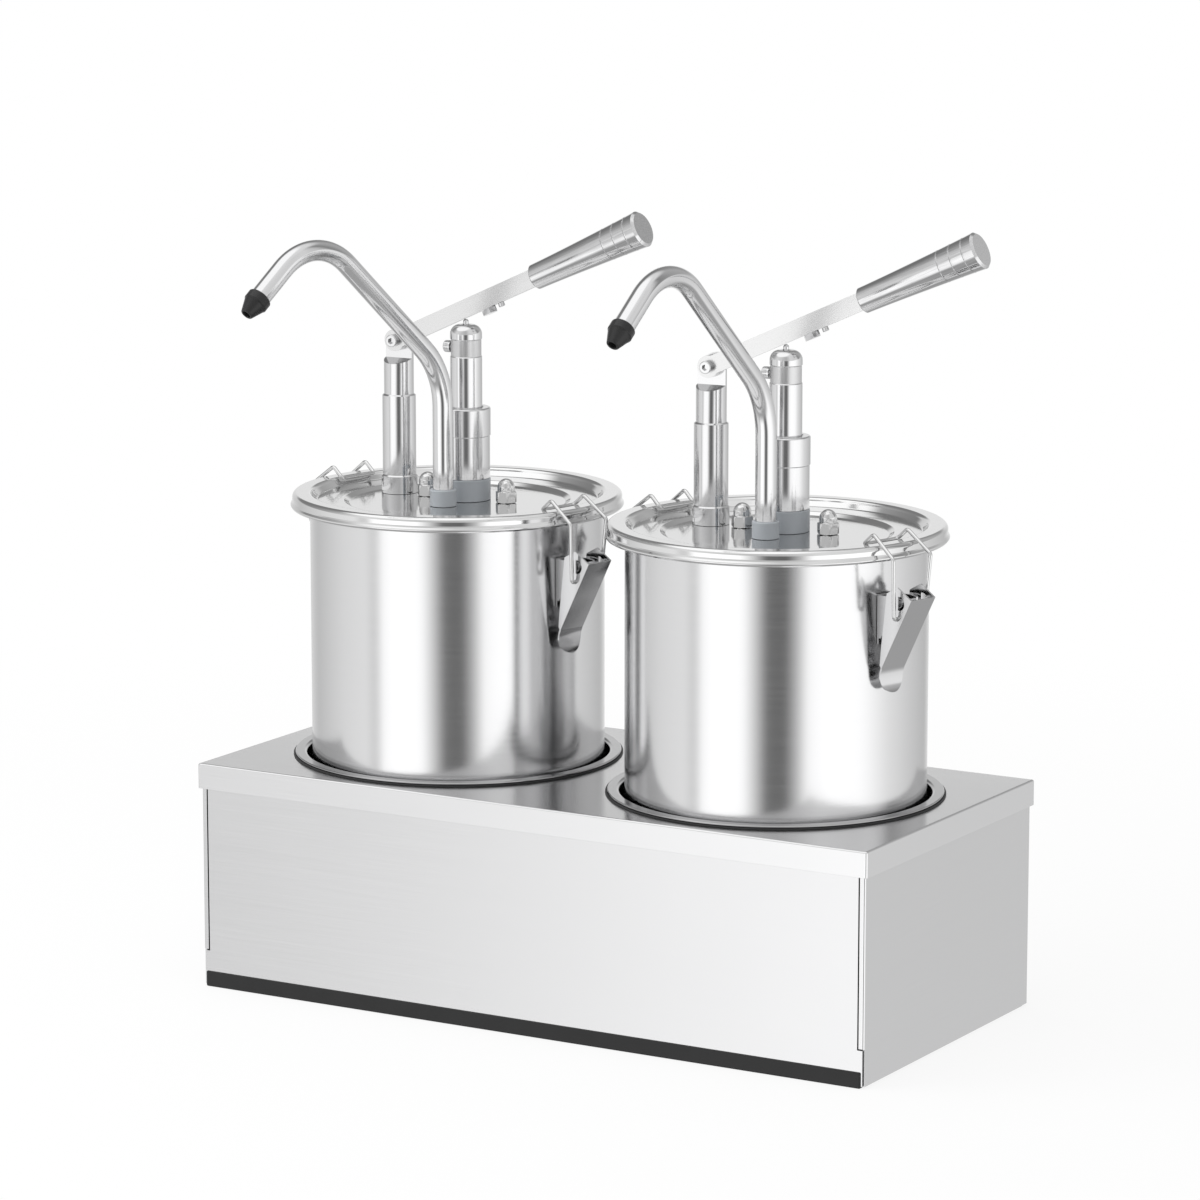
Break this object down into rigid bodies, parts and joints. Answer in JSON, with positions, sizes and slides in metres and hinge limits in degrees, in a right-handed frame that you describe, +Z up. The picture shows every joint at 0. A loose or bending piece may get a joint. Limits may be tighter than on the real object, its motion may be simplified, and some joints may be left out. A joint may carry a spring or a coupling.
{
  "type": "sauce dispenser",
  "caption": "Sauce dispenser: two latched round canisters with lever pumps and arched spouts, standing in a rectangular sheet-metal stand.",
  "frame": {"origin": "centre of the stand's footprint on the counter", "axes": "+Z up, -Y towards the user, where the nozzles point, +X to the right as seen by the user"},
  "size_m": [0.5191, 0.3135, 0.5322],
  "materials": {
    "brushed_steel": "brushed",
    "mirror_steel": "polished",
    "spring_steel": "drawn",
    "grey_plastic": "satin",
    "white_plastic": "satin",
    "white_silicone": "matt",
    "black_plastic": "gloss",
    "black_rubber": "gloss"
  },
  "bodies": {
    "stand": {"stand_cover": "brushed_steel", "stand_front_panel": "brushed_steel", "stand_body_wrap": "brushed_steel", "stand_floor_pan": "brushed_steel", "stand_foot_strips": "black_rubber", "well_walls": "brushed_steel", "well_floors": "brushed_steel", "well_gaskets": "black_rubber"},
    "left_can": {"left_can": "brushed_steel", "left_can_floor": "brushed_steel", "left_lid": "mirror_steel", "left_lid_seal": "white_silicone", "left_latch_brackets": "mirror_steel", "left_pump_sleeve": "mirror_steel", "left_lid_glands": "grey_plastic", "left_pump_post": "mirror_steel", "left_cap_nuts": "mirror_steel", "left_pump_block": "white_plastic", "left_pump_barrel": "mirror_steel", "left_foot_valve": "white_plastic", "left_pivot_bolt": "mirror_steel", "left_return_spring": "spring_steel"},
    "left_spout": {"left_spout_tube": "mirror_steel", "left_nozzle": "black_plastic"},
    "left_lever": {"left_lever_bar": "brushed_steel", "left_lever_grip": "mirror_steel", "left_stop_screw": "mirror_steel"},
    "left_plunger": {"left_plunger": "mirror_steel", "left_piston_seal": "white_silicone", "left_cap_screw": "mirror_steel"},
    "left_inner_latch": {"left_inner_latch_lever": "mirror_steel"},
    "left_inner_bail": {"left_inner_latch_bail": "spring_steel"},
    "left_outer_latch": {"left_outer_latch_lever": "mirror_steel"},
    "left_outer_bail": {"left_outer_latch_bail": "spring_steel"},
    "right_can": {"right_can": "brushed_steel", "right_can_floor": "brushed_steel", "right_lid": "mirror_steel", "right_lid_seal": "white_silicone", "right_latch_brackets": "mirror_steel", "right_pump_sleeve": "mirror_steel", "right_lid_glands": "grey_plastic", "right_pump_post": "mirror_steel", "right_cap_nuts": "mirror_steel", "right_pump_block": "white_plastic", "right_pump_barrel": "mirror_steel", "right_foot_valve": "white_plastic", "right_pivot_bolt": "mirror_steel", "right_return_spring": "spring_steel"},
    "right_spout": {"right_spout_tube": "mirror_steel", "right_nozzle": "black_plastic"},
    "right_lever": {"right_lever_bar": "brushed_steel", "right_lever_grip": "mirror_steel", "right_stop_screw": "mirror_steel"},
    "right_plunger": {"right_plunger": "mirror_steel", "right_piston_seal": "white_silicone", "right_cap_screw": "mirror_steel"},
    "right_inner_latch": {"right_inner_latch_lever": "mirror_steel"},
    "right_inner_bail": {"right_inner_latch_bail": "spring_steel"},
    "right_outer_latch": {"right_outer_latch_lever": "mirror_steel"},
    "right_outer_bail": {"right_outer_latch_bail": "spring_steel"}
  },
  "joints": [
    {"name": "left_can_lift", "type": "slide", "parent": "stand", "child": "left_can", "axis": [0, 0, 1], "range_m": [0, 0.095]},
    {"name": "left_spout_swivel", "type": "hinge", "parent": "left_can", "child": "left_spout", "pos_m": [-0.12289, -0.01729, 0.3288], "axis": [0, 0, 1], "range_deg": [-45, 45]},
    {"name": "left_lever_hinge", "type": "hinge", "parent": "left_can", "child": "left_lever", "pos_m": [-0.17888, 0.01252, 0.4344], "axis": [-0.0323, 0.9995, 0], "range_deg": [0, 24.5]},
    {"name": "left_plunger_slide", "type": "slide", "parent": "left_can", "child": "left_plunger", "axis": [0, 0, -1], "range_m": [0, 0.0252], "stiffness_N_per_m": 900, "springref_m": -0.02, "deforming": ["left_return_spring"]},
    {"name": "left_inner_latch_hinge", "type": "hinge", "parent": "left_can", "child": "left_inner_latch", "pos_m": [-0.00901, -0.02493, 0.2995], "axis": [-0.225, -0.9744, 0], "range_deg": [0, 30]},
    {"name": "left_inner_bail_hinge", "type": "hinge", "parent": "left_inner_latch", "child": "left_inner_bail", "pos_m": [-0.0056, -0.02572, 0.29], "axis": [-0.225, -0.9744, 0], "range_deg": [-35, 0]},
    {"name": "left_outer_latch_hinge", "type": "hinge", "parent": "left_can", "child": "left_outer_latch", "pos_m": [-0.23843, 0.02593, 0.2995], "axis": [0.2079, 0.9781, 0], "range_deg": [0, 110]},
    {"name": "left_outer_bail_hinge", "type": "hinge", "parent": "left_outer_latch", "child": "left_outer_bail", "pos_m": [-0.24186, 0.02666, 0.29], "axis": [0.2079, 0.9781, 0], "range_deg": [-127, 0]},
    {"name": "right_can_lift", "type": "slide", "parent": "stand", "child": "right_can", "axis": [0, 0, 1], "range_m": [0, 0.095]},
    {"name": "right_spout_swivel", "type": "hinge", "parent": "right_can", "child": "right_spout", "pos_m": [0.12506, -0.01724, 0.3288], "axis": [0, 0, 1], "range_deg": [-45, 45]},
    {"name": "right_lever_hinge", "type": "hinge", "parent": "right_can", "child": "right_lever", "pos_m": [0.06763, 0.00968, 0.4344], "axis": [-0.0832, 0.9965, 0], "range_deg": [0, 24.5]},
    {"name": "right_plunger_slide", "type": "slide", "parent": "right_can", "child": "right_plunger", "axis": [0, 0, -1], "range_m": [0, 0.0252], "stiffness_N_per_m": 900, "springref_m": -0.02, "deforming": ["right_return_spring"]},
    {"name": "right_inner_latch_hinge", "type": "hinge", "parent": "right_can", "child": "right_inner_latch", "pos_m": [0.01084, 0.03487, 0.2995], "axis": [0.284, 0.9588, 0], "range_deg": [0, 30]},
    {"name": "right_inner_bail_hinge", "type": "hinge", "parent": "right_inner_latch", "child": "right_inner_bail", "pos_m": [0.00748, 0.03587, 0.29], "axis": [0.284, 0.9588, 0], "range_deg": [-35, 0]},
    {"name": "right_outer_latch_hinge", "type": "hinge", "parent": "right_can", "child": "right_outer_latch", "pos_m": [0.23587, -0.03285, 0.2995], "axis": [-0.2924, -0.9563, 0], "range_deg": [0, 110]},
    {"name": "right_outer_bail_hinge", "type": "hinge", "parent": "right_outer_latch", "child": "right_outer_bail", "pos_m": [0.23921, -0.03388, 0.29], "axis": [-0.2924, -0.9563, 0], "range_deg": [-127, 0]}
  ],
  "couplings": [
    {"joint": "left_plunger_slide", "follows": "left_lever_hinge", "m_per_rad": 0.0585},
    {"joint": "left_inner_bail_hinge", "follows": "left_inner_latch_hinge", "ratio": -1.15},
    {"joint": "left_outer_bail_hinge", "follows": "left_outer_latch_hinge", "ratio": -1.15},
    {"joint": "right_plunger_slide", "follows": "right_lever_hinge", "m_per_rad": 0.0585},
    {"joint": "right_inner_bail_hinge", "follows": "right_inner_latch_hinge", "ratio": -1.15},
    {"joint": "right_outer_bail_hinge", "follows": "right_outer_latch_hinge", "ratio": -1.15}
  ]
}
